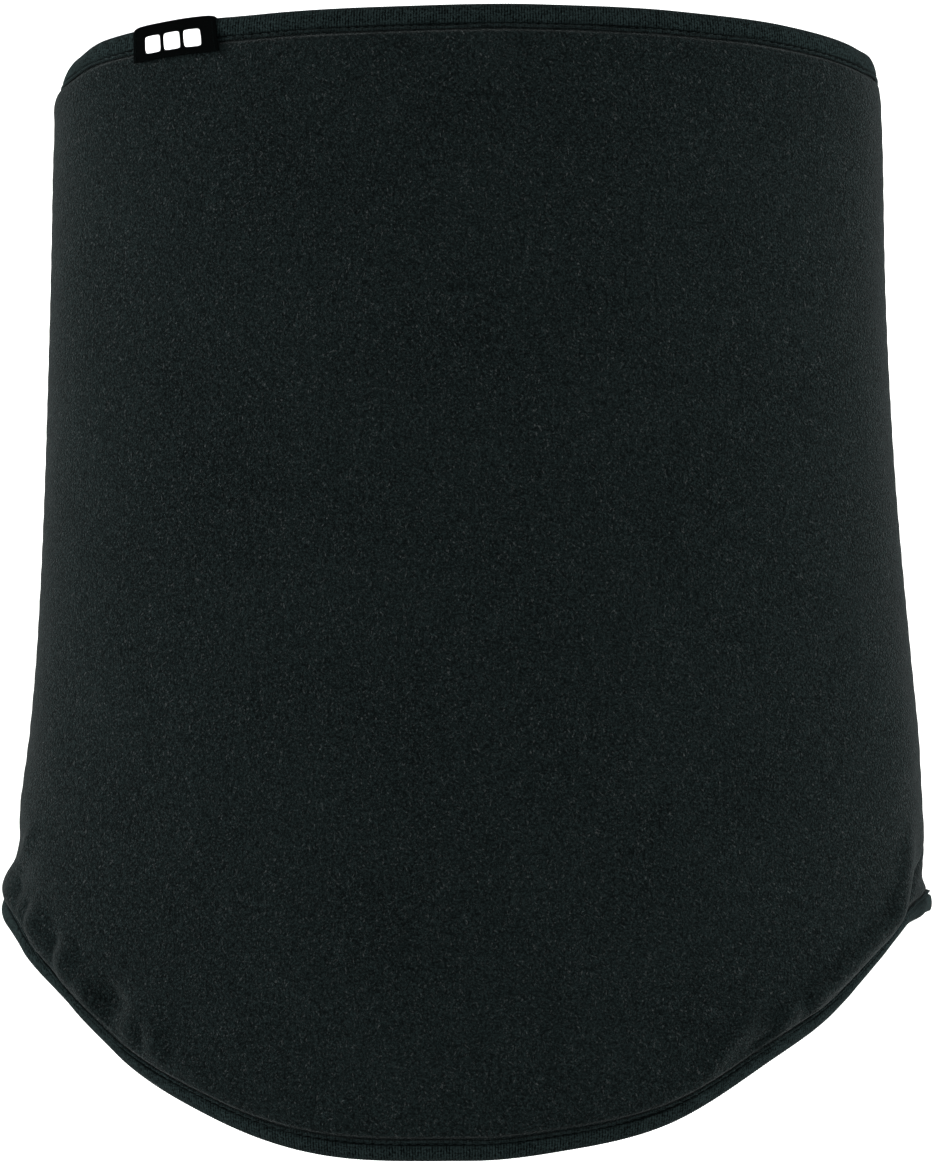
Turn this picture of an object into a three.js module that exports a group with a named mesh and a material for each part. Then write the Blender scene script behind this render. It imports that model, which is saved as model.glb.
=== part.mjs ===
// A fleece neck gaiter: a flared oval tube with a bib-shaped hem, bound at both edges.
// Millimetres. +Z runs up the neck, the front faces -Y, and left and right are as seen
// from the front. The origin is the middle of the neck opening, where the rim meets the sides.

import * as THREE from "three";
import { LoftGeometry } from "three/addons/geometries/LoftGeometry.js";
import { mergeGeometries } from "three/addons/utils/BufferGeometryUtils.js";

// ---- Driving dimensions: the tube ----

const NECK_WIDTH = 219; // outside, across the sides below the upper binding
const NECK_DEPTH = 106; // outside, front to back at the same level
const HEM_WIDTH = 244; // outside, across the sides at the hem
const HEM_DEPTH = 122; // outside, front to back at the hem
const SIDE_HEIGHT = 218; // rim to hem, down a side seam
const FRONT_RISE = 14; // front of the rim, above the side seams
const BACK_DIP = 12; // back of the rim, below the side seams
const FRONT_BIB = 61; // lowest point of the front hem, below the side seams
const BACK_BIB = 28; // lowest point of the back hem, below the side seams
const BIB_POWER = 2.57; // 2 gives a rounder bib, more gives squarer corners
const FLARE_POWER = 2; // how late the tube widens on its way down
const RIM_DRAW_IN = 2; // how far the stretched binding pulls the rim inwards
const HEM_DRAW_IN = 3; // the same at the hem
const DRAW_REACH = 7; // distance from an edge over which the fleece recovers

// ---- Driving dimensions: cloth, tape, thread and labels ----

const FLEECE = 2.5; // thickness of the brushed fleece
const FLEECE_IN_BINDING = 1; // its thickness where a binding squeezes it
const FLEECE_SWELL = 2; // distance over which it swells out beside a binding
const BINDING_WIDTH = 5; // finished width, fold to lip
const BINDING_TAPE = 0.6; // thickness of the tape
const FOLD_RADIUS = 0.1; // inside a fold of tape
const THREAD = 0.5; // diameter of the sewing thread
const THREAD_INSET = 0.9; // stitch row, in from the binding's lip
const SEAM_WIDTH = 6; // overlocked allowance, lying flat inside each side seam
const SEAM_THICKNESS = 1.8;
const TACK_WIDTH = 1.6; // bar of zigzag stitches that closes each binding
const BRAND_LABEL_WIDTH = 23.5; // along the rim
const BRAND_LABEL_DROP = 9; // rim to the lower edge, in front and behind
const BRAND_LABEL_TAPE = 0.5;
const BRAND_LABEL_MARGIN = 1.5; // stitch row, in from a label's end
const CARE_LABEL_WIDTH = 26;
const CARE_LABEL_LENGTH = 38; // below the binding it hangs from
const CARE_LABEL_TAPE = 0.8; // both layers of the folded satin
const CARE_LABEL_CORNER = 2; // rounding of its lower corners

// ---- Places and clearances ----

const BRAND_LABEL_ANGLE = -Math.PI / 4; // on the front, to the left
const SEAM_ANGLES = { left: -Math.PI / 2, right: Math.PI / 2 };
const TACK_ANGLE = Math.PI / 2 + 0.16; // just behind the right side seam
const GAP = 0.3; // kept between pieces that touch
const PANEL_STEPS = 32; // facets round each panel
const WALL_ROWS = 9; // rows of facets between the two bindings
const LABEL_STEPS = 4; // facets along the brand label

// ---- Sizes that follow from those above ----

const CHANNEL = FLEECE_IN_BINDING / 2 + GAP; // inside of a binding, from the middle of the fleece
const BINDING_FACE = CHANNEL + BINDING_TAPE; // outside of a binding
const THREAD_FACE = BINDING_FACE + GAP + THREAD; // outside of its stitches
const LABEL_BACK = THREAD_FACE + GAP; // inside of a label that lies over them
const LABEL_FACE = LABEL_BACK + BRAND_LABEL_TAPE;
const RAW_EDGE = BINDING_TAPE + GAP; // the fleece's cut edge, in from the fold
const STITCH_ROW = BINDING_WIDTH - THREAD_INSET;

// ---- Materials ----

const cloth = (color, roughness) =>
  new THREE.MeshStandardMaterial({ color, roughness, metalness: 0 });
const FLEECE_BLACK = 0x141a1a;
const TAPE_BLACK = 0x111616;
const THREAD_BLACK = 0x1a2020;
const LABEL_BLACK = 0x020606;
const SATIN_WHITE = 0xd9dad6;

// ---- The tube's shape ----

// Height of the rim at an angle round the tube, counted from the front.
function rimHeight(angle) {
  const towardsFront = Math.cos(angle);
  return towardsFront * (towardsFront > 0 ? FRONT_RISE : BACK_DIP);
}

// Height of the hem at an angle: level at the side seams, lowest in the middle of each bib.
function hemHeight(angle) {
  const bib = Math.cos(angle) > 0 ? FRONT_BIB : BACK_BIB;
  return -SIDE_HEIGHT - bib * (1 - Math.abs(Math.sin(angle)) ** BIB_POWER);
}

// Half the width and half the depth of the oval through the middle of the fleece.
function ovalAt(angle, z) {
  const belowRim = Math.max(0, rimHeight(angle) - z);
  const aboveHem = Math.max(0, z - hemHeight(angle));
  const flare = (belowRim / (belowRim + aboveHem)) ** FLARE_POWER;
  const drawnIn =
    RIM_DRAW_IN * Math.exp(-belowRim / DRAW_REACH) +
    HEM_DRAW_IN * Math.exp(-aboveHem / DRAW_REACH);
  const halfOf = (neck, hem) => (neck + (hem - neck) * flare - FLEECE) / 2 - drawnIn;
  return { across: halfOf(NECK_WIDTH, HEM_WIDTH), deep: halfOf(NECK_DEPTH, HEM_DEPTH) };
}

// A point on the tube at an angle and a height, a distance out from the middle of the fleece.
function place(angle, z, outwards) {
  const { across, deep } = ovalAt(angle, z);
  const normal = new THREE.Vector2(Math.sin(angle) / across, -Math.cos(angle) / deep);
  normal.setLength(outwards);
  return new THREE.Vector3(
    across * Math.sin(angle) + normal.x,
    -deep * Math.cos(angle) + normal.y,
    z,
  );
}

// The angle that a length along the tube's surface takes up.
function angleOf(length, angle, z) {
  const { across, deep } = ovalAt(angle, z);
  return length / Math.hypot(across * Math.cos(angle), deep * Math.sin(angle));
}

// An edge to work along: the height of the point that is a distance in from the rim or hem.
const fromRim = (angle, distance) => rimHeight(angle) - distance;
const fromHem = (angle, distance) => hemHeight(angle) + distance;

// Angles from one to another in equal steps, both ends included.
function anglesBetween(first, last, steps) {
  return Array.from({ length: steps + 1 }, (_, i) => first + ((last - first) * i) / steps);
}

// ---- Ways of making a piece ----

// The facets that close one end of a solid, between the two halves of its section.
function endFacets(section, isLast) {
  const half = section.length / 2;
  const halves = [section.slice(0, half), section.slice(half).reverse()];
  return new LoftGeometry(isLast ? halves : halves.reverse(), { closed: false });
}

// A closed solid through sections. A ring's last section is its first again, and any other
// solid gets end facets.
function solid(name, sections, material, isRing = false) {
  const surfaces = [new LoftGeometry(sections)];
  if (!isRing) {
    surfaces.push(endFacets(sections[0], false), endFacets(sections.at(-1), true));
  }
  const mesh = new THREE.Mesh(mergeGeometries(surfaces), material);
  mesh.name = name;
  return mesh;
}

// A section at an angle, from a profile of [distance in from an edge, offset] pairs.
function sectionAt(angle, heightAt, profile) {
  return profile.map(([distance, outwards]) => place(angle, heightAt(angle, distance), outwards));
}

// A ring all round the tube, along its rim or its hem.
function edgeRing(name, heightAt, profile, material) {
  const loop = heightAt === fromRim ? profile : [...profile].reverse();
  const angles = anglesBetween(-Math.PI / 2, (3 * Math.PI) / 2, 2 * PANEL_STEPS);
  return solid(name, angles.map((angle) => sectionAt(angle, heightAt, loop)), material, true);
}

// Profile of tape folded over an edge, lying between two offsets on both faces of the cloth.
function foldedTape(drop, fold, back, face) {
  const thickness = face - back;
  const layer = (top, out, radius) => [
    [drop, out],
    [top + radius, out],
    [top, out - radius],
    [top, radius - out],
    [top + radius, -out],
    [drop, -out],
  ];
  const inner = layer(fold + thickness, back, FOLD_RADIUS);
  const outer = layer(fold, face, FOLD_RADIUS + thickness);
  return [...inner, ...outer.reverse()];
}

// A flat strip on the tube's surface, up through the given heights.
function strip(name, angle, width, heights, inner, outer, material) {
  const sections = heights.map((z) => {
    const half = angleOf(width / 2, angle, z);
    return [
      place(angle - half, z, outer),
      place(angle + half, z, outer),
      place(angle + half, z, inner),
      place(angle - half, z, inner),
    ];
  });
  return solid(name, sections, material);
}

// ---- The panels ----

// Heights of the fleece's facets from hem to rim, with its half thickness at each.
function wallRows(angle) {
  const thin = FLEECE_IN_BINDING / 2;
  const thick = FLEECE / 2;
  const beside = BINDING_WIDTH + GAP;
  const clear = beside + FLEECE_SWELL;
  const low = fromHem(angle, clear);
  const high = fromRim(angle, clear);
  const between = Array.from({ length: WALL_ROWS + 1 }, (_, i) => ({
    z: low + ((high - low) * i) / WALL_ROWS,
    half: thick,
  }));
  return [
    { z: fromHem(angle, RAW_EDGE), half: thin },
    { z: fromHem(angle, beside), half: thin },
    ...between,
    { z: fromRim(angle, beside), half: thin },
    { z: fromRim(angle, RAW_EDGE), half: thin },
  ];
}

// One panel of fleece, from one side seam round to the other.
function panel(name, firstAngle, lastAngle) {
  const butt = angleOf(GAP / 2, firstAngle, -SIDE_HEIGHT / 2);
  const sections = anglesBetween(firstAngle + butt, lastAngle - butt, PANEL_STEPS).map((angle) => {
    const rows = wallRows(angle);
    const outside = rows.map(({ z, half }) => place(angle, z, half));
    const inside = rows.map(({ z, half }) => place(angle, z, -half));
    return [...inside, ...outside.reverse()];
  });
  return solid(name, sections, cloth(FLEECE_BLACK, 0.95));
}

// The turned-in edges of both panels, overlocked together inside a side seam.
function sideSeam(name, angle) {
  const heights = wallRows(angle)
    .slice(2, -2)
    .map(({ z }) => z);
  const face = -(FLEECE / 2 + GAP);
  return strip(
    name, angle, SEAM_WIDTH, heights, face - SEAM_THICKNESS, face, cloth(THREAD_BLACK, 0.85),
  );
}

// ---- The bindings ----

// Tape folded over an edge, down both faces of the fleece.
function binding(name, heightAt) {
  const profile = foldedTape(BINDING_WIDTH, 0, CHANNEL, BINDING_FACE);
  return edgeRing(name, heightAt, profile, cloth(TAPE_BLACK, 0.8));
}

// The thread of a stitch row, on the outer face (side 1) or the inner face (side -1).
function stitchRow(name, heightAt, side) {
  const middle = side * (THREAD_FACE - THREAD / 2);
  const profile = [
    [STITCH_ROW + THREAD / 2, middle],
    [STITCH_ROW, middle - THREAD / 2],
    [STITCH_ROW - THREAD / 2, middle],
    [STITCH_ROW, middle + THREAD / 2],
  ];
  return edgeRing(name, heightAt, profile, cloth(THREAD_BLACK, 0.6));
}

// The bar of stitches across a binding, where the tape's two ends meet.
function bindingTack(name, heightAt) {
  const near = FOLD_RADIUS + BINDING_TAPE;
  const far = STITCH_ROW - THREAD / 2 - GAP;
  const heights = [near, far].map((distance) => heightAt(TACK_ANGLE, distance));
  heights.sort((a, b) => a - b);
  const face = BINDING_FACE + GAP;
  return strip(
    name, TACK_ANGLE, TACK_WIDTH, heights, face, face + THREAD, cloth(THREAD_BLACK, 0.6),
  );
}

// ---- The labels ----

// Woven tape folded over the rim and its binding.
function brandLabel(name) {
  const half = angleOf(BRAND_LABEL_WIDTH / 2, BRAND_LABEL_ANGLE, 0);
  const angles = anglesBetween(BRAND_LABEL_ANGLE - half, BRAND_LABEL_ANGLE + half, LABEL_STEPS);
  const profile = foldedTape(BRAND_LABEL_DROP, -GAP - BRAND_LABEL_TAPE, LABEL_BACK, LABEL_FACE);
  const sections = angles.map((angle) => sectionAt(angle, fromRim, profile));
  return solid(name, sections, cloth(LABEL_BLACK, 0.55));
}

// The stitches down one end of the brand label (end -1 is the left one).
function brandLabelThread(name, end) {
  const along = end * (BRAND_LABEL_WIDTH / 2 - BRAND_LABEL_MARGIN);
  const angle = BRAND_LABEL_ANGLE + angleOf(along, BRAND_LABEL_ANGLE, 0);
  const heights = [BRAND_LABEL_DROP - BRAND_LABEL_MARGIN, BRAND_LABEL_MARGIN].map((distance) =>
    fromRim(angle, distance),
  );
  const face = LABEL_FACE + GAP;
  return strip(name, angle, THREAD, heights, face, face + THREAD, cloth(THREAD_BLACK, 0.6));
}

// A folded satin label that hangs free inside the back, below the binding's stitches.
function careLabel(name) {
  const top = fromRim(Math.PI, BINDING_WIDTH + GAP);
  const halfAngle = angleOf(CARE_LABEL_WIDTH / 2, Math.PI, top);
  const wall = place(Math.PI - halfAngle, fromRim(Math.PI - halfAngle, 0), -LABEL_BACK);
  const half = CARE_LABEL_WIDTH / 2;
  const bottom = -CARE_LABEL_LENGTH;
  const outline = new THREE.Shape();
  outline.moveTo(-half, 0);
  outline.lineTo(-half, bottom + CARE_LABEL_CORNER);
  outline.quadraticCurveTo(-half, bottom, -half + CARE_LABEL_CORNER, bottom);
  outline.lineTo(half - CARE_LABEL_CORNER, bottom);
  outline.quadraticCurveTo(half, bottom, half, bottom + CARE_LABEL_CORNER);
  outline.lineTo(half, 0);
  outline.closePath();
  const geometry = new THREE.ExtrudeGeometry(outline, {
    depth: CARE_LABEL_TAPE,
    bevelEnabled: false,
    curveSegments: 4,
  });
  const mesh = new THREE.Mesh(geometry, cloth(SATIN_WHITE, 0.5));
  mesh.name = name;
  mesh.rotation.x = Math.PI / 2;
  mesh.position.set(0, wall.y, top);
  return mesh;
}

// ---- The gaiter ----

const group = new THREE.Group();

group.add(panel("front_panel", SEAM_ANGLES.left, SEAM_ANGLES.right));
group.add(panel("back_panel", SEAM_ANGLES.right, SEAM_ANGLES.left + 2 * Math.PI));
for (const [side, angle] of Object.entries(SEAM_ANGLES)) {
  group.add(sideSeam(`side_seam_${side}`, angle));
}

for (const [edge, heightAt] of Object.entries({ top: fromRim, hem: fromHem })) {
  group.add(binding(`${edge}_binding`, heightAt));
  group.add(stitchRow(`${edge}_stitches_outer`, heightAt, 1));
  group.add(stitchRow(`${edge}_stitches_inner`, heightAt, -1));
  group.add(bindingTack(`${edge}_binding_tack`, heightAt));
}

group.add(brandLabel("brand_label"));
group.add(brandLabelThread("brand_label_thread_left", -1));
group.add(brandLabelThread("brand_label_thread_right", 1));
group.add(careLabel("care_label"));

export default group;
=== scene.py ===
"""A black fleece neck gaiter, filled out as on a display form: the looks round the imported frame.

Metres, +Z up the neck, the front faces -Y. Left and right are as seen from the front.
"""
import logging
import math
from dataclasses import dataclass, field
from enum import Enum

import bpy
import numpy as np
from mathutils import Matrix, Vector


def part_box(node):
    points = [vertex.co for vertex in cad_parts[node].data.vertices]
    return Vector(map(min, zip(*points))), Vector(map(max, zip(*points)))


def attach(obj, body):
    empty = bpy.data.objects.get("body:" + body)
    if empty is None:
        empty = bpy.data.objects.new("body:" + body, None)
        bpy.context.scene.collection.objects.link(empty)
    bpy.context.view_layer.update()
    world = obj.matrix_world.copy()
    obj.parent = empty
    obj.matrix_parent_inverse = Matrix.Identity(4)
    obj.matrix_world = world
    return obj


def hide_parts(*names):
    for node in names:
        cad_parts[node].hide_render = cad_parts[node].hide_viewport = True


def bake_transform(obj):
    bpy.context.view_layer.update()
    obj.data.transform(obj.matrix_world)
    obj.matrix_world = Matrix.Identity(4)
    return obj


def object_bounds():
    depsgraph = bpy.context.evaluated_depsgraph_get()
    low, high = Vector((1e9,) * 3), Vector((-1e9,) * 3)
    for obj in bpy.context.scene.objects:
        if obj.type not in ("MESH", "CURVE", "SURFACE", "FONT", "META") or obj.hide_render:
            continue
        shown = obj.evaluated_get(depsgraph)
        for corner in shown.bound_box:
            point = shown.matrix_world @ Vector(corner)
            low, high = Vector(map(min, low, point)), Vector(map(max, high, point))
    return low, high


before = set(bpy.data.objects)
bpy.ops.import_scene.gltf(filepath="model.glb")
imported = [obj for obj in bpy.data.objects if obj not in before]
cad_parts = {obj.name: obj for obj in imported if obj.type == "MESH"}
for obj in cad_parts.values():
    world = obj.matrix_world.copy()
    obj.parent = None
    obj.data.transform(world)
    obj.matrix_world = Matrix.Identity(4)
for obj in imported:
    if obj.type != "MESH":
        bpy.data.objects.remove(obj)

log = logging.getLogger("gaiter")

MM = 0.001
CAD_BOX = [list(corner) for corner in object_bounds()]
TUBE = "tube"


class Edge(Enum):
    """The two bound edges of the tube."""

    RIM = "rim"
    HEM = "hem"


class Face(Enum):
    """The two faces of the cloth, with the side that each one's stitches lie on."""

    OUTER = 1
    INNER = -1


def bell(value: np.ndarray, middle: float, width: float | np.ndarray) -> np.ndarray:
    """Returns 1 where a value is at the middle, falling smoothly to 0 over about two widths."""
    return np.exp(-(((value - middle) / width) ** 2))


def unit(vectors: np.ndarray) -> np.ndarray:
    """Returns the vectors in the last axis at a length of one."""
    return vectors / np.linalg.norm(vectors, axis=-1, keepdims=True)


def step_lengths(points: np.ndarray) -> np.ndarray:
    """Returns the distance from each point of a line to the next."""
    return np.linalg.norm(np.diff(points, axis=0), axis=1)


# ---------------------------------------------------------------- the shape of the tube


@dataclass(frozen=True)
class Swell:
    """A rounded rise at one distance from an edge, or a hollow where its height is negative.

    Attributes:
        height: How far it stands out, in millimetres.
        middle: The distance at which it is highest, in millimetres.
        width: The distance over which it fades, in millimetres.
    """

    height: float
    middle: float
    width: float

    def at(self, distance: np.ndarray) -> np.ndarray:
        """Returns how far it stands out at distances from the edge, all in metres."""
        return self.height * MM * bell(distance, self.middle * MM, self.width * MM)


@dataclass(frozen=True)
class Fold:
    """A small gather or hollow in the fleece, along a line of places.

    Attributes:
        path: Its line, as pairs of degrees round the tube and millimetres above the hem.
        width: Half its width, in millimetres.
        height: How far it stands out, or sinks in where negative, in millimetres.
    """

    path: tuple[tuple[float, float], ...]
    width: float
    height: float


LEFT_FOLDS = (
    Fold(((-73, 32), (-76, 24), (-80, 17), (-86, 11)), 1.8, 1.2),
    Fold(((-77, 15), (-78, 7)), 3.0, -1.5),
    Fold(((-71.5, 14), (-72.5, 9), (-69.5, 6.5)), 1.4, -0.9),
    Fold(((-67, 18), (-69, 12), (-69.5, 8), (-66.5, 6.5)), 2.3, 1.6),
    Fold(((-62, 17), (-63.3, 12), (-63.3, 8)), 1.5, -1.1),
    Fold(((-58.5, 20), (-59.8, 14), (-60.3, 10), (-60, 7)), 2.1, 1.6),
    Fold(((-56, 13), (-55.5, 9.5), (-54, 7), (-52.5, 6)), 2.0, 1.0),
    Fold(((-48, 19), (-50.5, 11), (-52, 5)), 3.5, -3.0),
    Fold(((-44.5, 18), (-46, 12.5), (-46.5, 8)), 1.9, 1.2),
    Fold(((-44, 13), (-44.6, 7)), 1.3, -1.0),
    Fold(((-42, 19), (-42, 12.5), (-41, 7)), 2.1, 1.4),
    Fold(((-36, 14), (-36.5, 7)), 2.6, 0.5),
)
RIGHT_FOLDS = (
    Fold(((38, 16), (36, 14), (33.5, 12), (31.5, 9.5), (30, 7)), 2.2, 1.5),
    Fold(((36, 8.5), (38, 7.6), (41, 6.8)), 2.6, -2.4),
    Fold(((42, 6), (44, 12)), 1.9, 1.1),
    Fold(((45.5, 6), (46, 9)), 1.3, -0.8),
    Fold(((47.5, 6), (48, 12)), 1.9, 1.1),
    Fold(((74, 24), (71, 15), (68, 11.5), (65, 8.5)), 3.4, 1.2),
    Fold(((90, 17), (83, 13.5), (77, 11.5), (74.5, 9), (72, 6.5), (70, 5)), 1.9, -2.3),
)
BODY_FOLDS = (
    Fold(((15, 164), (18, 152), (21, 140)), 9.0, -0.35),
    Fold(((-70, 70), (-76, 45)), 9.0, 0.5),
    Fold(((72, 60), (78, 36)), 9.0, 0.5),
    Fold(((160, 150), (172, 128), (178, 110)), 10.0, -0.5),
    Fold(((-150, 90), (-140, 60)), 12.0, 0.6),
)


def eased_round(angle: np.ndarray, knots: tuple[tuple[float, float], ...]) -> np.ndarray:
    """Interpolates smoothly round the tube between given knots.

    Args:
        angle: Angles, in radians.
        knots: Pairs of an angle in degrees, rising from above -180 to 180, and a value.

    Returns:
        A value for each angle.
    """
    degrees = np.array([knot[0] for knot in knots], dtype=float)
    values = np.array([knot[1] for knot in knots])
    degrees = np.concatenate([[degrees[-1] - 360], degrees])
    values = np.concatenate([[values[-1]], values])
    turned = (np.degrees(angle) + 180) % 360 - 180
    place = np.clip(np.searchsorted(degrees, turned) - 1, 0, len(degrees) - 2)
    share = (turned - degrees[place]) / (degrees[place + 1] - degrees[place])
    share = share * share * (3 - 2 * share)
    return values[place] + (values[place + 1] - values[place]) * share


HEM_TUCK = (
    (-130, 2.4), (-104, 1.2), (-90, -1.0), (-73, 0.6), (-60, 4.2), (-46, 3.8), (-34, 2.8),
    (0, 2.8), (38, 2.8), (50, 3.6), (64, 4.2), (75, 3.2), (84, 1.2), (92, -0.3), (104, 1.2),
    (130, 2.4), (180, 2.2),
)
HEM_DROP = (
    (-104, 0.0), (-90, 2.4), (-82, 3.4), (-62, 4.5), (-50, 3.0), (-34, 0.7), (-18, 1.3),
    (0, 0.5), (12, -0.5), (26, 0.7), (39, -0.4), (52, 1.6), (64, 1.1), (74, -0.2), (82, 0.9),
    (90, 1.4), (104, 0.4), (180, 0.0),
)
RIM_DRAW = (
    (-102, 2.6), (-90, 4.4), (-76, 3.4), (-60, 2.0), (60, 2.0), (78, 2.2), (90, 3.2), (104, 2.4),
    (180, 2.2),
)
RIM_LIFT = (
    (-110, 0.0), (-90, -0.6), (-76, -0.5), (-62, 0.3), (-45, 0.2), (-30, -0.5), (-10, -0.7),
    (10, -0.2), (30, 0.3), (50, 0.8), (72, 1.1), (84, 2.0), (92, 2.4), (112, 0.4),
    (180, 0.0),
)
RIM_PUFF = (
    (-104, 0.5), (-88, 0.9), (-72, 0.8), (-50, 0.45), (60, 0.45), (90, 0.2), (180, 0.45),
)
HEM_PUFF = (
    (-100, 0.5), (-86, 0.8), (-60, 1.0), (-40, 0.6), (0, 0.5), (30, 0.6), (44, 1.2), (50, 2.6),
    (66, 3.0), (72, 1.2), (78, 0.4), (84, 0.3), (100, 0.5), (180, 0.6),
)

# Above the hem at the left corner, then at the right one.
LEFT_LOBE = Swell(1.7, 5, 6)
LEFT_CREASE = Swell(-1.3, 19, 7)
RIGHT_WAIST = Swell(-1.7, 8.5, 4)

# In from a binding's fold, for each unit of RIM_PUFF and HEM_PUFF.
RIM_SWELL = Swell(1, 8, 4)
HEM_SWELL = Swell(1, 7.4, 3)

# Away from a side seam: the sharp valley of its stitches, and the soft one round it.
SEAM_STITCHED = Swell(-0.75, 0, 1.3)
SEAM_SOFT = Swell(-0.25, 0, 4.5)


@dataclass
class TubeForm:
    """The middle of the fleece: an oval tube that flares down to a bib at front and back.

    Angles run round the tube from the middle of the front, towards the right.
    """

    binding_width: float = 5.0 * MM
    rim_stitch_row: float = 4.7 * MM
    hem_stitch_row: float = 4.0 * MM
    lip_width: float = 1.0 * MM
    fleece: float = 2.4 * MM
    side_bulge: float = 1.2 * MM
    left_bib_power: float = 3.0
    right_bib_power: float = 2.25
    back_bib_power: float = 2.57
    flare_power: float = 2.0
    rim_reach: float = 6.0 * MM
    hem_reach: float = 4.6 * MM
    lean: float = 1.5 * MM
    lean_height: float = -167 * MM
    lean_spread: tuple[float, float] = (60 * MM, 30 * MM)
    waviness: float = 0.55 * MM
    held_depth: float = 3.6 * MM
    held_fade: float = 2.2 * MM
    corner_spread: tuple[float, float] = (0.06, 0.05)
    seam_tick_pitch: float = 6.5 * MM
    seam_tick: float = 0.35
    nudge: float = 1e-3
    back_puckers: int = 26
    seed: int = 7
    rise: float = field(init=False)
    dip: float = field(init=False)
    side_height: float = field(init=False)
    front_bib: float = field(init=False)
    back_bib: float = field(init=False)
    neck: tuple[float, float] = field(init=False)
    hem_size: tuple[float, float] = field(init=False)
    folds: list[Fold] = field(init=False)
    round_angles: np.ndarray = field(init=False)
    round_lengths: np.ndarray = field(init=False)
    ripples: list[tuple[float, float, float, float]] = field(init=False)

    def __post_init__(self) -> None:
        """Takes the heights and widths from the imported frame."""
        rim_low, rim_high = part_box("top_binding")
        hem_low, hem_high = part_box("hem_binding")
        back_low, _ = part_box("back_panel")
        _, wall_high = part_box("front_panel")
        self.rise = rim_high[2]
        self.dip = -rim_low[2] - self.binding_width
        self.side_height = self.binding_width - hem_high[2]
        self.front_bib = -hem_low[2] - self.side_height
        self.back_bib = -back_low[2] - self.side_height
        self.neck = (rim_high[0] - 0.4 * MM, rim_high[1] - 0.4 * MM)
        self.hem_size = (wall_high[0] + 0.9 * MM, hem_high[1])
        rng = np.random.default_rng(self.seed)
        self.folds = [*LEFT_FOLDS, *RIGHT_FOLDS, *BODY_FOLDS, *self._back_folds(rng)]
        self.round_angles = np.linspace(-2 * math.pi, 2 * math.pi, 2881)
        rates = [self.arc_rate(float(angle)) for angle in self.round_angles]
        step = self.round_angles[1] - self.round_angles[0]
        self.round_lengths = (np.cumsum(rates) - 0.5 * np.array(rates)) * step
        self.ripples = [
            (rng.uniform(1, 4), rng.uniform(0, 2 * math.pi), rng.uniform(8, 26), rng.uniform(0, 7))
            for _ in range(7)
        ]

    def _back_folds(self, rng: np.random.Generator) -> list[Fold]:
        """Returns small gathers along the back hem, alternately out and in."""
        made = []
        for number, place in enumerate(np.linspace(98, 262, self.back_puckers)):
            middle = float(place + rng.uniform(-2, 2))
            top = (middle + float(rng.uniform(-3, 3)), float(rng.uniform(11, 18)))
            height = float(rng.uniform(0.5, 1.3)) * (1 if number % 2 else -1)
            made.append(Fold((top, (middle, 6.0)), float(rng.uniform(1.6, 2.8)), height))
        return made

    def rim(self, angle: np.ndarray) -> np.ndarray:
        """Returns the height of the rim at each angle."""
        towards_front = np.cos(angle)
        smooth = towards_front * np.where(towards_front > 0, self.rise, self.dip)
        return smooth + eased_round(angle, RIM_LIFT) * MM

    def hem(self, angle: np.ndarray) -> np.ndarray:
        """Returns the height of the hem at each angle."""
        front = np.cos(angle) > 0
        across = np.sin(angle)
        mix = 0.5 + 0.5 * np.tanh(across * 4)
        power = self.left_bib_power + (self.right_bib_power - self.left_bib_power) * mix
        power = np.where(front, power, self.back_bib_power)
        bib = np.where(front, self.front_bib, self.back_bib)
        smooth = -self.side_height - bib * (1 - np.abs(across) ** power)
        return smooth - eased_round(angle, HEM_DROP) * MM

    def arc_rate(self, angle: float) -> float:
        """Returns the length along the neck for each radian at an angle."""
        return math.hypot(self.neck[0] * math.cos(angle), self.neck[1] * math.sin(angle))

    def base(self, angle: np.ndarray, z: np.ndarray) -> np.ndarray:
        """Returns the points of the smooth tube, without its gathers.

        Args:
            angle: Angles round the tube.
            z: Heights.

        Returns:
            Points in the last axis.
        """
        below = np.maximum(self.rim(angle) - z, 0)
        above = np.maximum(z - self.hem(angle), 0)
        flare = (below / (below + above)) ** self.flare_power
        drawn = eased_round(angle, RIM_DRAW) * MM * np.exp(-below / self.rim_reach)
        drawn = drawn + eased_round(angle, HEM_TUCK) * MM * np.exp(-above / self.hem_reach)
        across = self.neck[0] + (self.hem_size[0] - self.neck[0]) * flare
        deep = self.neck[1] + (self.hem_size[1] - self.neck[1]) * flare
        inset = self.fleece / 2 + drawn - self.side_bulge
        spread = np.where(z > self.lean_height, self.lean_spread[0], self.lean_spread[1])
        lean = self.lean * bell(z, self.lean_height, spread)
        return np.stack(
            [
                lean + (across - inset) * np.sin(angle),
                -(deep - inset) * np.cos(angle),
                z + 0 * angle,
            ],
            axis=-1,
        )

    def normal(self, angle: np.ndarray, z: np.ndarray) -> np.ndarray:
        """Returns the outward unit normals of the smooth tube."""
        step_z = 0.1 * MM
        upward = self.base(angle, z + step_z) - self.base(angle, z - step_z)
        return unit(np.cross(self.around(angle, z), upward))

    def around(self, angle: np.ndarray, z: np.ndarray) -> np.ndarray:
        """Returns short vectors round the smooth tube, towards larger angles."""
        return self.base(angle + self.nudge, z) - self.base(angle - self.nudge, z)

    def stitch_row(self, edge: Edge) -> float:
        """Returns how far in from an edge its stitches lie."""
        return self.rim_stitch_row if edge is Edge.RIM else self.hem_stitch_row

    def depth_in(self, edge: Edge, angle: np.ndarray, z: np.ndarray) -> np.ndarray:
        """Returns how far in from an edge a place lies, measured square to the edge."""
        line = self.rim if edge is Edge.RIM else self.hem
        before, after = angle - self.nudge, angle + self.nudge
        run = self.base(after, line(after)) - self.base(before, line(before))
        level = np.hypot(run[..., 0], run[..., 1]) / np.linalg.norm(run, axis=-1)
        return np.abs(z - line(angle)) * level

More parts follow.
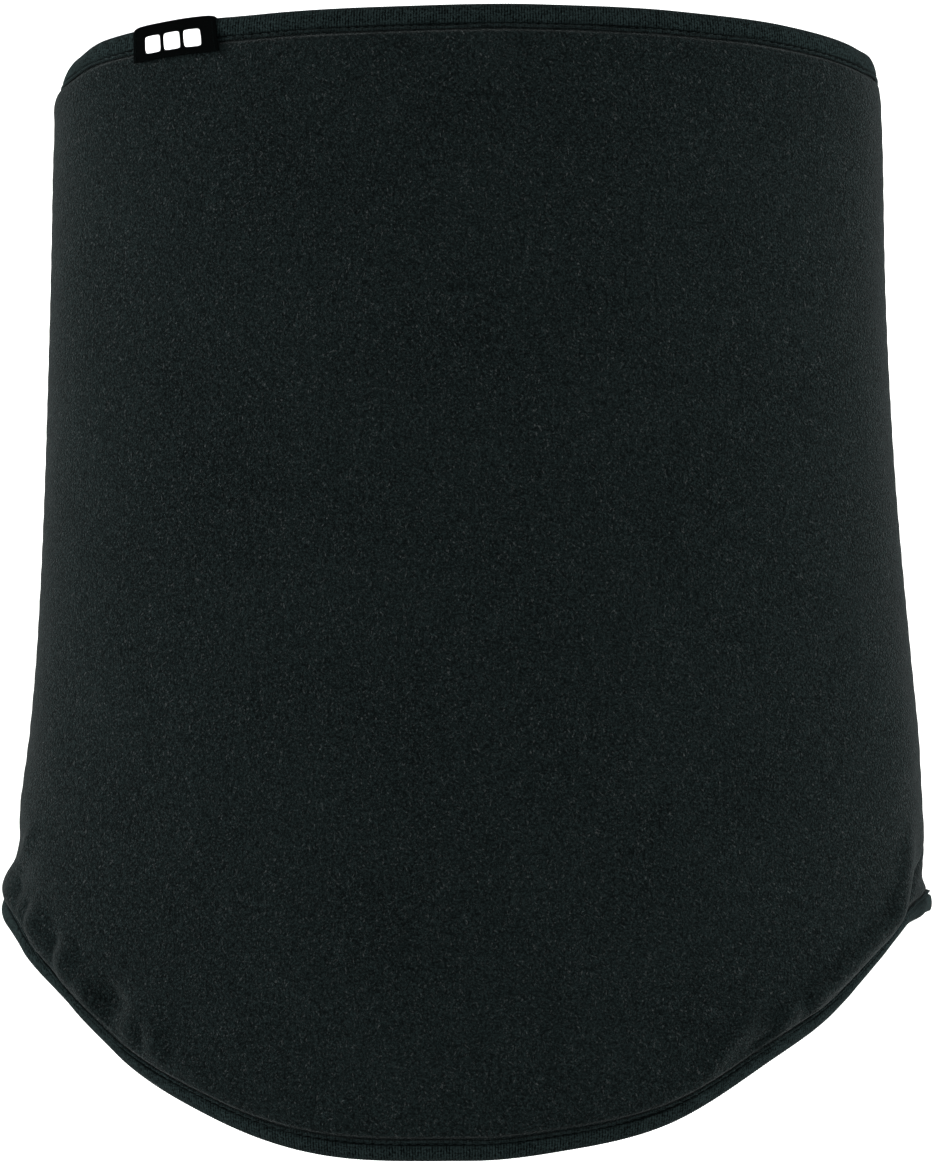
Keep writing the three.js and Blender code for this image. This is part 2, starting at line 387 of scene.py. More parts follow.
    def relief(self, angle: np.ndarray, z: np.ndarray) -> np.ndarray:
        """Returns how far the fleece stands out from the smooth tube, gathers and all."""
        above = z - self.hem(angle)
        hem_in = self.depth_in(Edge.HEM, angle, z)
        rim_in = self.depth_in(Edge.RIM, angle, z)
        held = np.maximum(np.minimum(hem_in, rim_in) - self.held_depth, 0)
        total = self._ripple(angle, z) + self._corners(angle, above)
        for fold in self.folds:
            total += self._gather(fold, angle, above)
        total += eased_round(angle, RIM_PUFF) * RIM_SWELL.at(rim_in)
        total += eased_round(angle, HEM_PUFF) * HEM_SWELL.at(hem_in)
        return total * (1 - np.exp(-held / self.held_fade))

    def _gather(self, fold: Fold, angle: np.ndarray, above: np.ndarray) -> np.ndarray:
        """Returns the relief of one fold."""
        path = np.array(fold.path)
        middle = math.radians(path[0, 0])
        turned = middle + np.angle(np.exp(1j * (angle - middle)))
        around = np.interp(turned, self.round_angles, self.round_lengths)
        corners = np.interp(np.radians(path[:, 0]), self.round_angles, self.round_lengths)
        corners = np.stack([corners, path[:, 1] * MM], axis=1)
        spans = step_lengths(corners)
        walked = np.concatenate([[0], np.cumsum(spans)]) / spans.sum()
        nearest = np.full_like(above, np.inf)
        share = np.zeros_like(above)
        for number, span in enumerate(spans):
            start, along = corners[number], (corners[number + 1] - corners[number]) / span
            walk = (around - start[0]) * along[0] + (above - start[1]) * along[1]
            walk = np.clip(walk, 0, span)
            distance = np.hypot(
                around - start[0] - walk * along[0], above - start[1] - walk * along[1]
            )
            closer = distance < nearest
            nearest = np.where(closer, distance, nearest)
            here = walked[number] + walk / span * (walked[number + 1] - walked[number])
            share = np.where(closer, here, share)
        fade = 1 - 0.75 * np.abs(2 * share - 1) ** 3
        return fade * Swell(fold.height, 0, fold.width).at(nearest)

    def _ripple(self, angle: np.ndarray, z: np.ndarray) -> np.ndarray:
        """Returns the soft unevenness of cloth that is stretched over nothing hard."""
        total = np.zeros_like(z)
        for turns, phase, per_metre, shift in self.ripples:
            wave = np.sin(angle * round(turns) * 2 + phase + shift * z * 10)
            total += wave * np.sin(z * per_metre * 2 + phase * shift)
        return self.waviness * total / len(self.ripples)

    def _corners(self, angle: np.ndarray, above: np.ndarray) -> np.ndarray:
        """Returns the lobe and crease at the left corner, and the waist over the right one."""
        left = bell(np.sin(angle), -1, self.corner_spread[0])
        right = bell(np.sin(angle), 1, self.corner_spread[1])
        lobe_and_crease = LEFT_LOBE.at(above) + LEFT_CREASE.at(above)
        return left * lobe_and_crease + right * RIGHT_WAIST.at(above)

    def seam_valley(self, angle: np.ndarray, z: np.ndarray) -> np.ndarray:
        """Returns how far the fleece sinks into a side seam, with its small puckers."""
        sides = (-math.pi / 2, math.pi / 2)
        off = [np.abs(np.angle(np.exp(1j * (angle - side)))) for side in sides]
        distance = np.minimum(*off) * self.neck[1]
        ticks = 1 + self.seam_tick * np.sin(z / self.seam_tick_pitch * 2 * math.pi)
        return SEAM_STITCHED.at(distance) + ticks * SEAM_SOFT.at(distance)

    def skin(self, angle: np.ndarray, z: np.ndarray) -> np.ndarray:
        """Returns the points of the middle of the fleece, with all its relief."""
        out = self.relief(angle, z) + self.seam_valley(angle, z)
        return self.base(angle, z) + self.normal(angle, z) * out[..., None]

    def edge_frame(
        self, edge: Edge, angle: np.ndarray
    ) -> tuple[np.ndarray, np.ndarray, np.ndarray]:
        """Finds the edge's own directions, which the bindings and the brand label follow.

        Args:
            edge: Which edge.
            angle: Angles round the tube.

        Returns:
            The edge's points, the directions into the cloth from them, and the outward normals.
        """
        if edge is Edge.RIM:
            start, end, turn = self.rim(angle), self.rim(angle) - self.binding_width, -1
        else:
            start, end, turn = self.hem(angle), self.hem(angle) + self.binding_width, 1
        origin, inner = self.base(angle, start), self.base(angle, end)
        along, inward = self.around(angle, end), inner - origin
        normal = unit(np.cross(along, inward) * turn)
        along = unit(along)
        inward = unit(inward - along * (inward * along).sum(axis=-1, keepdims=True))
        return origin, inward, normal


# ---------------------------------------------------------------- tools of the workroom


MERGE = 0.002 * MM


def clear_selection() -> None:
    """Deselects every object, the CAD nodes included."""
    bpy.ops.object.select_all(action="DESELECT")


def select_only(*pieces: bpy.types.Object) -> None:
    """Selects some pieces and nothing else, with the first one active."""
    clear_selection()
    for piece in pieces:
        piece.select_set(True)
    bpy.context.view_layer.objects.active = pieces[0]


def points_of(piece: bpy.types.Object) -> np.ndarray:
    """Returns a piece's vertices, one in each row."""
    flat = np.empty(len(piece.data.vertices) * 3)
    piece.data.vertices.foreach_get("co", flat)
    return flat.reshape(-1, 3)


def grid_piece(name: str, columns: int, rows: int) -> bpy.types.Object:
    """Adds a flat grid with a UV map, ready to be shaped.

    Args:
        name: The piece's name.
        columns: Faces along X.
        rows: Faces along Y.

    Returns:
        The new piece.
    """
    clear_selection()
    bpy.ops.mesh.primitive_grid_add(
        x_subdivisions=columns, y_subdivisions=rows, size=1, calc_uvs=True
    )
    piece = bpy.context.object
    piece.name = piece.data.name = name
    return piece


def grid_shares(piece: bpy.types.Object) -> tuple[np.ndarray, np.ndarray]:
    """Returns each vertex's share across and up a fresh grid piece."""
    points = points_of(piece)
    return points[:, 0] + 0.5, points[:, 1] + 0.5


def place_points(piece: bpy.types.Object, points: np.ndarray) -> None:
    """Moves a piece's vertices to the given points."""
    piece.data.vertices.foreach_set("co", np.ascontiguousarray(points, dtype=np.float32).ravel())
    piece.data.update()


def scale_uv(piece: bpy.types.Object, width: float, height: float) -> None:
    """Scales a piece's UV map so that it is in metres of cloth."""
    layer = piece.data.uv_layers[0]
    values = np.empty(len(layer.data) * 2)
    layer.data.foreach_get("uv", values)
    values = values.reshape(-1, 2) * (width, height)
    layer.data.foreach_set("uv", values.ravel())


def set_uv(piece: bpy.types.Object, u: np.ndarray, v: np.ndarray) -> None:
    """Sets a piece's UV map from one pair of values for each vertex."""
    layer = piece.data.uv_layers[0]
    corners = np.empty(len(layer.data), dtype=np.int32)
    piece.data.loops.foreach_get("vertex_index", corners)
    layer.data.foreach_set("uv", np.stack([u[corners], v[corners]], axis=1).ravel())


def edit(piece: bpy.types.Object) -> None:
    """Opens a piece in edit mode with all of it selected."""
    select_only(piece)
    bpy.ops.object.mode_set(mode="EDIT")
    bpy.ops.mesh.select_all(action="SELECT")


def close_and_turn_out(piece: bpy.types.Object, fill_ends: bool = False) -> None:
    """Merges a piece's doubled vertices and points its faces outwards.

    Args:
        piece: The piece.
        fill_ends: Whether its open ends are closed with a face each.
    """
    edit(piece)
    bpy.ops.mesh.remove_doubles(threshold=MERGE)
    if fill_ends:
        bpy.ops.mesh.select_all(action="DESELECT")
        bpy.ops.mesh.select_non_manifold()
        bpy.ops.mesh.edge_face_add()
        bpy.ops.mesh.select_all(action="SELECT")
    bpy.ops.mesh.normals_make_consistent(inside=False)
    bpy.ops.object.mode_set(mode="OBJECT")


def apply_modifier(piece: bpy.types.Object, kind: str, **settings: object) -> None:
    """Adds a modifier with the given settings and applies it."""
    select_only(piece)
    modifier = piece.modifiers.new(kind.title(), kind)
    for key, value in settings.items():
        setattr(modifier, key, value)
    bpy.ops.object.modifier_apply(modifier=modifier.name)


def smooth(piece: bpy.types.Object) -> None:
    """Shades a piece smooth."""
    select_only(piece)
    bpy.ops.object.shade_smooth()


def dress(piece: bpy.types.Object, material: bpy.types.Material, body: str) -> None:
    """Gives a piece its finish and the body that it rides on."""
    piece.data.materials.clear()
    piece.data.materials.append(material)
    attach(piece, body)
    faces = len(piece.data.polygons)
    log.info("%s: %d faces, finish %s", piece.name, faces, material.name)


def copies_of(
    template: bpy.types.Object, name: str, origins: np.ndarray, axes: np.ndarray
) -> bpy.types.Object:
    """Makes one piece of many copies of a small template, which is then removed.

    Args:
        template: The shape to copy, about its own origin.
        name: The new piece's name.
        origins: Where each copy's origin goes.
        axes: For each copy, the directions that the template's X, Y and Z axes take.

    Returns:
        The new piece.
    """
    local = points_of(template)
    count = len(local)
    points = origins[:, None, :] + np.einsum("vk,nkx->nvx", local, axes)
    faces = [tuple(polygon.vertices) for polygon in template.data.polygons]
    all_faces = [
        tuple(corner + number * count for corner in face)
        for number in range(len(origins))
        for face in faces
    ]
    made = bpy.data.meshes.new(name)
    made.from_pydata(points.reshape(-1, 3).tolist(), [], all_faces)
    piece = bpy.data.objects.new(name, made)
    bpy.context.scene.collection.objects.link(piece)
    select_only(template)
    bpy.ops.object.delete()
    smooth(piece)
    return piece


def join_parts(parts: list[bpy.types.Object], name: str) -> bpy.types.Object:
    """Joins parts into one smooth piece with the given name."""
    select_only(*parts)
    bpy.ops.object.join()
    joined = bpy.context.object
    joined.name = joined.data.name = name
    smooth(joined)
    return joined


def thread_template(length: float, thickness: float) -> bpy.types.Object:
    """Adds one stitch: a short rounded length of thread whose ends dip into the cloth.

    Args:
        length: From hole to hole, along X.
        thickness: Of the thread.

    Returns:
        The stitch, with Z out of the cloth.
    """
    clear_selection()
    bpy.ops.mesh.primitive_cylinder_add(
        vertices=8, radius=thickness / 2, depth=length, end_fill_type="NGON"
    )
    stitch = bpy.context.object
    edit(stitch)
    bpy.ops.transform.rotate(value=math.pi / 2, orient_axis="Y", center_override=(0, 0, 0))
    for cut in (-0.36, -0.15, 0.15, 0.36):
        bpy.ops.mesh.select_all(action="SELECT")
        bpy.ops.mesh.bisect(plane_co=(cut * length, 0, 0), plane_no=(1, 0, 0))
    bpy.ops.object.mode_set(mode="OBJECT")
    dip, squeeze = 0.9 * thickness, 0.45
    for vertex in stitch.data.vertices:
        share = abs(vertex.co.x) / (length / 2)
        vertex.co.z -= dip * share**3
        vertex.co.y *= 1 - squeeze * share**4
    return stitch


# ---------------------------------------------------------------- finishes


class Bench:
    """One material's shader nodes, added and joined by name."""

    def __init__(self, name: str) -> None:
        """Starts a material with an empty Principled shader."""
        self.material = bpy.data.materials.new(name)
        self.material.use_nodes = True
        self.tree = self.material.node_tree
        self.shader = self.tree.nodes["Principled BSDF"]

    def add(self, kind: str, inputs: dict | None = None, **settings: object) -> bpy.types.Node:
        """Adds a node.

        Args:
            kind: The node's type name.
            inputs: Values or sockets for its inputs, by name or number.
            settings: Its own properties.

        Returns:
            The new node.
        """
        node = self.tree.nodes.new(kind)
        for key, value in settings.items():
            setattr(node, key, value)
        for key, value in (inputs or {}).items():
            self.feed(node.inputs[key], value)
        return node

    def feed(self, socket: bpy.types.NodeSocket, value: object) -> None:
        """Joins a socket to an input, or sets the input's value."""
        if isinstance(value, bpy.types.NodeSocket):
            self.tree.links.new(value, socket)
        else:
            socket.default_value = value

    def math(self, operation: str, *values: object) -> bpy.types.NodeSocket:
        """Adds a Math node and returns its result."""
        node = self.add("ShaderNodeMath", operation=operation)
        for number, value in enumerate(values):
            self.feed(node.inputs[number], value)
        return node.outputs[0]

    def times(self, value: object, factor: object) -> bpy.types.NodeSocket:
        """Multiplies two values."""
        return self.math("MULTIPLY", value, factor)

    def plus(self, value: object, other: object, factor: float = 1.0) -> bpy.types.NodeSocket:
        """Adds a value's multiple to another value."""
        return self.math("ADD", value, other if factor == 1.0 else self.times(other, factor))

    def mix(self, share: object, low: object, high: object) -> bpy.types.NodeSocket:
        """Mixes two colours and returns the result."""
        node = self.add("ShaderNodeMix", data_type="RGBA")
        for number, value in ((0, share), (6, low), (7, high)):
            self.feed(node.inputs[number], value)
        return node.outputs[2]

    def ramp(self, value: object, low: float, high: float) -> bpy.types.NodeSocket:
        """Maps a value from low..high to 0..1, clamped, and returns the result."""
        node = self.add("ShaderNodeMapRange", {0: value, 1: low, 2: high, 3: 0.0, 4: 1.0})
        return node.outputs[0]

    def noise(self, coordinate: object, scale: float, detail: float = 2.0) -> bpy.types.Node:
        """Adds a noise texture over a coordinate."""
        inputs = {"Vector": coordinate, "Scale": scale, "Detail": detail}
        return self.add("ShaderNodeTexNoise", inputs)

    def coordinates(self, output: str) -> bpy.types.NodeSocket:
        """Returns the Object or the UV coordinates."""
        return self.add("ShaderNodeTexCoord").outputs[output]

    def bump(self, height: object, distance: float, below: object = None) -> bpy.types.NodeSocket:
        """Adds a bump over another one and returns its normals."""
        node = self.add("ShaderNodeBump", {"Height": height, "Distance": distance})
        if below is not None:
            self.feed(node.inputs["Normal"], below)
        return node.outputs[0]

    def finish(self, sockets: dict) -> bpy.types.Material:
        """Sets or joins the shader's sockets and returns the material."""
        for key, value in sockets.items():
            self.feed(self.shader.inputs[key], value)
        return self.material


COOL = (0.62, 1.0, 1.0, 1.0)
PALE_COOL = (0.94, 1.0, 1.0, 1.0)


def grey(level: float) -> tuple[float, float, float, float]:
    """Returns a grey with the slight cool cast of the black dye."""
    return (level * COOL[0], level * COOL[1], level * COOL[2], 1.0)


@dataclass(frozen=True)
class BrushedFleece:
    """Short brushed nap: matt, mottled, with pale fibre ends here and there and a soft sheen."""

    name: str = "black_fleece"
    tone: float = 0.0030
    low: float = 0.32
    high: float = 2.15
    fibre_tone: tuple[float, float, float, float] = (0.017, 0.019, 0.019, 1.0)
    sheen: float = 0.044
    nap: float = 0.28 * MM

    def build(self) -> bpy.types.Material:
        """Returns the finished material."""
        bench = Bench(self.name)
        place = bench.coordinates("Object")
        tufts = bench.noise(place, 1900, 2).outputs[0]
        curls = bench.add("ShaderNodeTexVoronoi", {"Vector": place, "Scale": 1850}).outputs[0]
        clumps = bench.noise(place, 620, 2).outputs[0]
        patches = bench.noise(place, 34, 3).outputs[0]
        shade = bench.ramp(tufts, 0.33, 0.67)
        shade = bench.times(shade, bench.ramp(curls, 0.95, 0.15))
        shade = bench.plus(bench.plus(shade, clumps, 0.25), patches, 0.2)
        shade = bench.ramp(shade, 0.2, 0.95)
        body = bench.mix(shade, grey(self.tone * self.low), grey(self.tone * self.high))
        colour = bench.mix(self._fibres(bench, place), body, self.fibre_tone)
        height = bench.plus(bench.plus(tufts, clumps, 0.5), curls, -0.6)
        normal = bench.bump(height, self.nap)
        normal = bench.bump(patches, 1.0 * MM, normal)
        rough = bench.add("ShaderNodeMapRange", {0: shade, 3: 1.0, 4: 0.9}).outputs[0]
        return bench.finish(
            {
                "Base Color": colour,
                "Roughness": rough,
                "Specular IOR Level": 0.01,
                "Specular Tint": COOL,
                "Sheen Weight": self.sheen,
                "Sheen Roughness": 0.42,
                "Sheen Tint": PALE_COOL,
                "Normal": normal,
            }
        )

    def _fibres(self, bench: Bench, place: bpy.types.NodeSocket) -> bpy.types.NodeSocket:
        """Returns a mask of short pale fibres that lie in several directions."""
        mask = 0.0
        for turn, lift in ((0.7, 0.3), (-0.8, -0.4), (1.5, 0.6)):
            along = bench.add(
                "ShaderNodeMapping",
                {"Vector": place, "Rotation": (0.0, turn, lift), "Scale": (3.0, 1.0, 1.0)},
                vector_type="TEXTURE",
            ).outputs[0]
            strand = bench.ramp(bench.noise(along, 2500, 1).outputs[0], 0.67, 0.80)
            mask = bench.math("MAXIMUM", mask, strand)
        return mask


@dataclass(frozen=True)
class RibbedTape:
    """Stretch binding tape: fine ribs across it and the knit's courses, with painted shade
    darkening the rib valleys and a painted shade along the stitch row.
    """

    name: str = "black_ribbed_tape"
    tone: float = 0.0046
    cross_threads: float = 15000.0
    sheen: float = 0.014

    def build(self) -> bpy.types.Material:
        """Returns the finished material."""
        bench = Bench(self.name)
        split = bench.add("ShaderNodeSeparateXYZ", {0: bench.coordinates("UV")})
        ribs = bench.math("COSINE", bench.times(split.outputs[0], 2 * math.pi))
        courses = bench.math("SINE", bench.times(split.outputs[1], self.cross_threads))
        place = bench.coordinates("Object")
        fuzz = bench.noise(place, 1800, 2).outputs[0]
        uneven = bench.noise(place, 300, 2).outputs[0]
        # Painted shade: the ribs and, faintly, the courses darken the colour in the hollows of the
        # rib geometry. The fuzz and unevenness are the knit's own random tone.
        shade = bench.plus(bench.ramp(fuzz, 0.3, 0.7), ribs, 0.3)
        shade = bench.plus(bench.plus(shade, uneven, 0.3), courses, 0.04)
        shade = bench.ramp(shade, 0.2, 1.1)
        # Painted shade: the colour drops to as little as 0.15 of itself in a narrow band along the
        # stitch row (UV v = 0), where the stitch groove lies in shade.
        off_row = bench.math("ABSOLUTE", split.outputs[1])
        clear = bench.ramp(off_row, 0.12 * MM, 0.42 * MM)
        shade = bench.times(shade, bench.math("MAXIMUM", clear, 0.15))
        colour = bench.mix(shade, grey(self.tone * 0.05), grey(self.tone * 2.2))
        height = bench.plus(fuzz, courses, 0.15)
        return bench.finish(
            {
                "Base Color": colour,
                "Roughness": 0.9,
                "Specular IOR Level": 0.01,
                "Specular Tint": COOL,
                "Sheen Weight": self.sheen,
                "Sheen Roughness": 0.45,
                "Sheen Tint": PALE_COOL,
                "Normal": bench.bump(height, 0.09 * MM),
            }
        )


@dataclass(frozen=True)
class TwistedThread:
    """Plied sewing thread, slightly glossy, with the twist as a fine slanted bump and as painted
    shade in the bump's hollows.
    """

    name: str
    tone: tuple[float, float, float, float]
    twist: float = 9000.0
    specular: float = 0.08

    def build(self) -> bpy.types.Material:
        """Returns the finished material."""
        bench = Bench(self.name)
        split = bench.add("ShaderNodeSeparateXYZ", {0: bench.coordinates("Object")})
        slant = bench.plus(split.outputs[0], split.outputs[2])
        slant = bench.plus(slant, split.outputs[1], 0.7)
        ply = bench.math("SINE", bench.times(slant, self.twist))
        # Painted shade: the colour follows the twist's bump and falls to 0.6 of the tone in its
        # hollows.
        share = bench.ramp(ply, -1.0, 1.0)
        low = tuple(0.6 * level for level in self.tone[:3]) + (1.0,)
        return bench.finish(
            {
                "Base Color": bench.mix(share, low, self.tone),
                "Roughness": 0.6,
                "Specular IOR Level": self.specular,
                "Specular Tint": COOL,
                "Normal": bench.bump(ply, 0.04 * MM),
            }
        )


@dataclass(frozen=True)
class WovenTape:
    """Label tape: fine warp and weft, matt in the hollows, with painted shade darkening the
    hollows and leaving the floats slightly bright.
    """

    name: str
    tone: tuple[float, float, float, float]
    warp: float = 15700.0
    weft: float = 12500.0
    depth: float = 0.05 * MM
    roughness: float = 0.62
    specular: float = 0.3

    def build(self) -> bpy.types.Material:
        """Returns the finished material."""
        bench = Bench(self.name)
        split = bench.add("ShaderNodeSeparateXYZ", {0: bench.coordinates("UV")})
        warp = bench.math("SINE", bench.times(split.outputs[0], self.warp))
        weft = bench.math("SINE", bench.times(split.outputs[1], self.weft))
        over = bench.times(warp, weft)
        uneven = bench.noise(bench.coordinates("Object"), 700, 2).outputs[0]
        # Painted shade: the colour follows the weave's bump and falls to 0.62 of the tone in its
        # hollows, with random unevenness on top.
        share = bench.ramp(bench.plus(over, uneven), -0.6, 1.6)
        low = tuple(0.62 * level for level in self.tone[:3]) + (1.0,)
        rough = bench.add(
            "ShaderNodeMapRange", {0: share, 3: self.roughness + 0.15, 4: self.roughness}
        ).outputs[0]
        return bench.finish(
            {
                "Base Color": bench.mix(share, low, self.tone),
                "Roughness": rough,
                "Specular IOR Level": self.specular,
                "Normal": bench.bump(over, self.depth),
            }
        )


@dataclass(frozen=True)
class StudioWhite:
    """The pale matt paper that the studio's floor and back wall are made of."""

    name: str = "studio_white"
    glow: float = 0.75

    def build(self) -> bpy.types.Material:
        """Returns the finished material."""
        bench = Bench(self.name)
        grain = bench.noise(bench.coordinates("Object"), 40, 2).outputs[0]
        return bench.finish(
            {
                "Base Color": bench.mix(grain, (0.60, 0.60, 0.60, 1), (0.63, 0.63, 0.63, 1)),
                "Roughness": 0.95,
                "Specular IOR Level": 0.0,
                "Emission Color": (1.0, 1.0, 1.0, 1.0),
                "Emission Strength": self.glow,
            }
        )


# ---------------------------------------------------------------- the pieces


@dataclass
class FleecePanel:
    """One panel of brushed fleece, from side seam to side seam.

    Its rows are close together beside the hem and the rim: hem_rows and rim_rows say which
    row lies how far in from the edge.
    """

    form: TubeForm
    name: str
    node: str
    middle: float
    columns: int = 232
    rows: int = 204
    side_crowding: float = 0.42
    bare_edge: float = 0.6 * MM
    squeeze: float = 0.78
    squeeze_ease: float = 0.16 * MM
    hem_rows: tuple[tuple[float, ...], tuple[float, ...]] = (
        (0, 36, 82), (0.0, 12 * MM, 50 * MM)
    )
    rim_rows: tuple[tuple[float, ...], tuple[float, ...]] = (
        (0, 26, 38), (0.0, 8.5 * MM, 20 * MM)
    )

    def shape(self) -> bpy.types.Object:
        """Wraps a flat grid round its half of the tube and gives it the fleece's thickness.

        Returns:
            The finished mesh.
        """
        piece = grid_piece(self.name, self.columns, self.rows)
        across, up = grid_shares(piece)
        turn = across * 2 - 1
        turn = turn + self.side_crowding * np.sin(math.pi * turn) / math.pi
        angle = self.middle + turn * math.pi / 2
        low = self.form.hem(angle) + self.bare_edge
        high = self.form.rim(angle) - self.bare_edge
        row = up * self.rows
        hem_rows, rim_rows = self.hem_rows, self.rim_rows
        from_hem = np.interp(row, *hem_rows)
        from_rim = np.interp(self.rows - row, *rim_rows)
        between = self.rows - hem_rows[0][-1] - rim_rows[0][-1]
        middle = np.clip((row - hem_rows[0][-1]) / between, 0, 1)
        z = low + from_hem + (high - low - from_hem - from_rim) * middle
        place_points(piece, self.form.skin(angle, z))
        scale_uv(piece, self.width, self.length)
        apply_modifier(piece, "SOLIDIFY", thickness=self.form.fleece, offset=0.0)
        self._squeeze_in_bindings(piece)
        smooth(piece)
        return piece

    def _squeeze_in_bindings(self, piece: bpy.types.Object) -> None:
        """Thins the fleece where a binding holds it."""
        form = self.form
        points = points_of(piece)
        angle = np.arctan2(points[:, 0] / form.neck[0], -points[:, 1] / form.neck[1])
        z = np.clip(points[:, 2], form.hem(angle) + 1e-5, form.rim(angle) - 1e-5)
        base, normal = form.base(angle, z), form.normal(angle, z)
        held = np.zeros(len(points))
        for edge in Edge:
            reach = form.stitch_row(edge) + form.lip_width + 0.3 * MM
            past = (form.depth_in(edge, angle, points[:, 2]) - reach) / self.squeeze_ease
            held = np.maximum(held, 1 / (1 + np.exp(np.clip(past, -40, 40))))
        out = ((points - base) * normal).sum(axis=1)
        points -= normal * (out * self.squeeze * held)[:, None]
        place_points(piece, points)

    @property
    def width(self) -> float:
        """Half the tube's girth, halfway down, by Ramanujan's rule for an ellipse."""
        across = (self.form.neck[0] + self.form.hem_size[0]) / 2
        deep = (self.form.neck[1] + self.form.hem_size[1]) / 2
        root = math.sqrt((3 * across + deep) * (across + 3 * deep))
        return math.pi * (3 * (across + deep) - root) / 2

    @property
    def length(self) -> float:
        """The panel's full length in its middle."""
        middle = np.array([self.middle])
        return float(self.form.rim(middle)[0] - self.form.hem(middle)[0])

    @property
    def cut_area(self) -> float:
        """The flat area that the panel was cut to, bib and all."""
        angle = self.middle + np.linspace(-math.pi / 2, math.pi / 2, 65)
        heights = self.form.rim(angle) - self.form.hem(angle)
        return float(np.mean(heights)) * self.width

    def build(self, fleece: bpy.types.Material) -> bpy.types.Object:
        """Makes the panel, dresses it and hides the frame part that it replaces."""
        piece = self.shape()
        dress(piece, fleece, TUBE)
        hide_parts(self.node)
        return piece


@dataclass
class Binding:
    """Ribbed tape folded over an edge, pinched by its stitches just inside the lip."""

    form: TubeForm
    edge: Edge
    node: str
    tape: float = 0.6 * MM
    puff: float = 0.42 * MM
    pinch: float = 0.62 * MM
    lip_lift: float = 0.24 * MM
    held_fleece: float = 0.42 * MM
    rib_pitch: float = 0.72 * MM
    rib_height: float = 0.12 * MM
    groove: float = 0.34 * MM
    lip_place: float = 0.62 * MM
    lip_spread: float = 0.3 * MM
    lip_sink: float = 0.35 * MM
    lip_clear: float = 0.15 * MM
    fold_share: float = 0.12
    face_steps: int = 36
    inner_steps: int = 6

    @property
    def name(self) -> str:
        """The piece's name."""
        return f"{self.edge.value}_tape"

    @property
    def stitch_row(self) -> float:
        """How far in from the fold the stitches lie."""
        return self.form.stitch_row(self.edge)

    @property
    def flat(self) -> tuple[float, float]:
        """The length and width that the tape was cut to."""
        half = self.stitch_row + self.form.lip_width
        return self.girth(), 2 * half + math.pi * (self.held_fleece + self.tape) / 2

    def girth(self) -> float:
        """Returns the length of the edge all the way round."""
        origin, _, _ = self.form.edge_frame(self.edge, np.linspace(0, 2 * math.pi, 721))
        return float(step_lengths(origin).sum())

    def face_offset(self, distance: np.ndarray) -> np.ndarray:
        """Returns how far the tape's outer face stands off the middle of the fleece.

        Args:
            distance: How far in from the fold.

        Returns:
            Offsets that puff between fold and stitches, dip at the stitch row and rise to the lip.
        """
        puffed = self.puff * np.sin(np.clip(distance / self.stitch_row, 0, 1) * math.pi) ** 0.7
        pinch = self.pinch * bell(distance, self.stitch_row, self.groove)
        lip = self.lip_lift * bell(distance, self.stitch_row + self.lip_place, self.lip_spread)
        return self.held_fleece + self.tape + puffed - pinch + lip

    def profile(self, share: np.ndarray) -> tuple[np.ndarray, np.ndarray]:
        """Returns distance in from the fold and offset, once round the tape's section.

        Args:
            share: From 0 to 1 round the section, starting at the inner face's lip.

        Returns:
            The two coordinates of each point.
        """
        reach, fold_share = self.stitch_row + self.form.lip_width, self.fold_share
        face_share = self.face_steps / (self.face_steps + self.inner_steps)
        share = np.where(share > 1 - 1e-6, 0, share)
        walk = np.clip(share / face_share, 0, 1) * 2 - 1
        side = np.where(walk < 0, -1.0, 1.0)
        depth = np.abs(walk)
        turn = np.clip(1 - depth / fold_share, 0, 1) * math.pi / 2
        flat = np.clip((depth - fold_share) / (1 - fold_share), 0, 1)
        distance = np.interp(flat, (0, 0.32, 1), (0, self.stitch_row - 1 * MM, reach))
        ending = np.clip((distance - reach + self.lip_spread) / self.lip_spread, 0, 1)
        offset = self.face_offset(distance) - self.lip_sink * ending**2
        fold = self.held_fleece + self.tape
        distance = np.where(turn > 0, -fold * 0.8 * np.sin(turn), distance)
        offset = np.where(turn > 0, fold * np.cos(turn), offset)
        back = (share - face_share) / (1 - face_share) * self.inner_steps
        lip, held, corners = reach - self.lip_clear, self.held_fleece, (1, 2, 3, 4, 5)
        inner_distance = np.interp(back, corners, (lip, 0.3 * reach, 0, 0.3 * reach, lip))
        inner_offset = np.interp(back, corners, (held, held, 0, -held, -held))
        outside = share <= face_share + 1e-6
        return (
            np.where(outside, distance, inner_distance),
            np.where(outside, side * offset, inner_offset),
        )

    def shape(self) -> bpy.types.Object:
        """Wraps a grid round the edge, ribs and all.

        Returns:
            The closed ring of tape.
        """
        girth = self.girth()
        ribs = round(girth / self.rib_pitch)
        piece = grid_piece(self.name, ribs * 2, self.face_steps + self.inner_steps)
        around, section = grid_shares(piece)
        angle = self._even_angles(around)
        origin, inward, normal = self.form.edge_frame(self.edge, angle)
        distance, offset = self.profile(section)
        outside = np.abs(offset) > self.held_fleece * 1.02
        rib = np.cos(around * ribs * 2 * math.pi)
        near_row = bell(distance, self.stitch_row, 1.3 * MM)
        turn = around * 2 * math.pi
        uneven = 0.8 + 0.35 * np.sin(turn * 61) * np.sin(turn * 17)
        lift = self.rib_height * uneven * (0.8 + 0.9 * near_row) * rib * outside
        sway = 0.12 * MM * np.sin(turn * 9) + 0.1 * MM * np.sin(turn * 23)
        offset = offset + np.sign(offset) * lift
        distance = distance + sway * (distance > 3 * MM)
        points = origin + inward * distance[:, None] + normal * offset[:, None]
        place_points(piece, points)
        set_uv(piece, around * ribs, distance - self.stitch_row)
        close_and_turn_out(piece)
        smooth(piece)
        return piece

    def _even_angles(self, share: np.ndarray) -> np.ndarray:
        """Returns the angles that divide the edge's length into even shares."""
        angle = np.linspace(-math.pi, math.pi, 1441)
        origin, _, _ = self.form.edge_frame(self.edge, angle)
        length = np.concatenate([[0], np.cumsum(step_lengths(origin))])
        return np.interp(share * length[-1], length, angle)

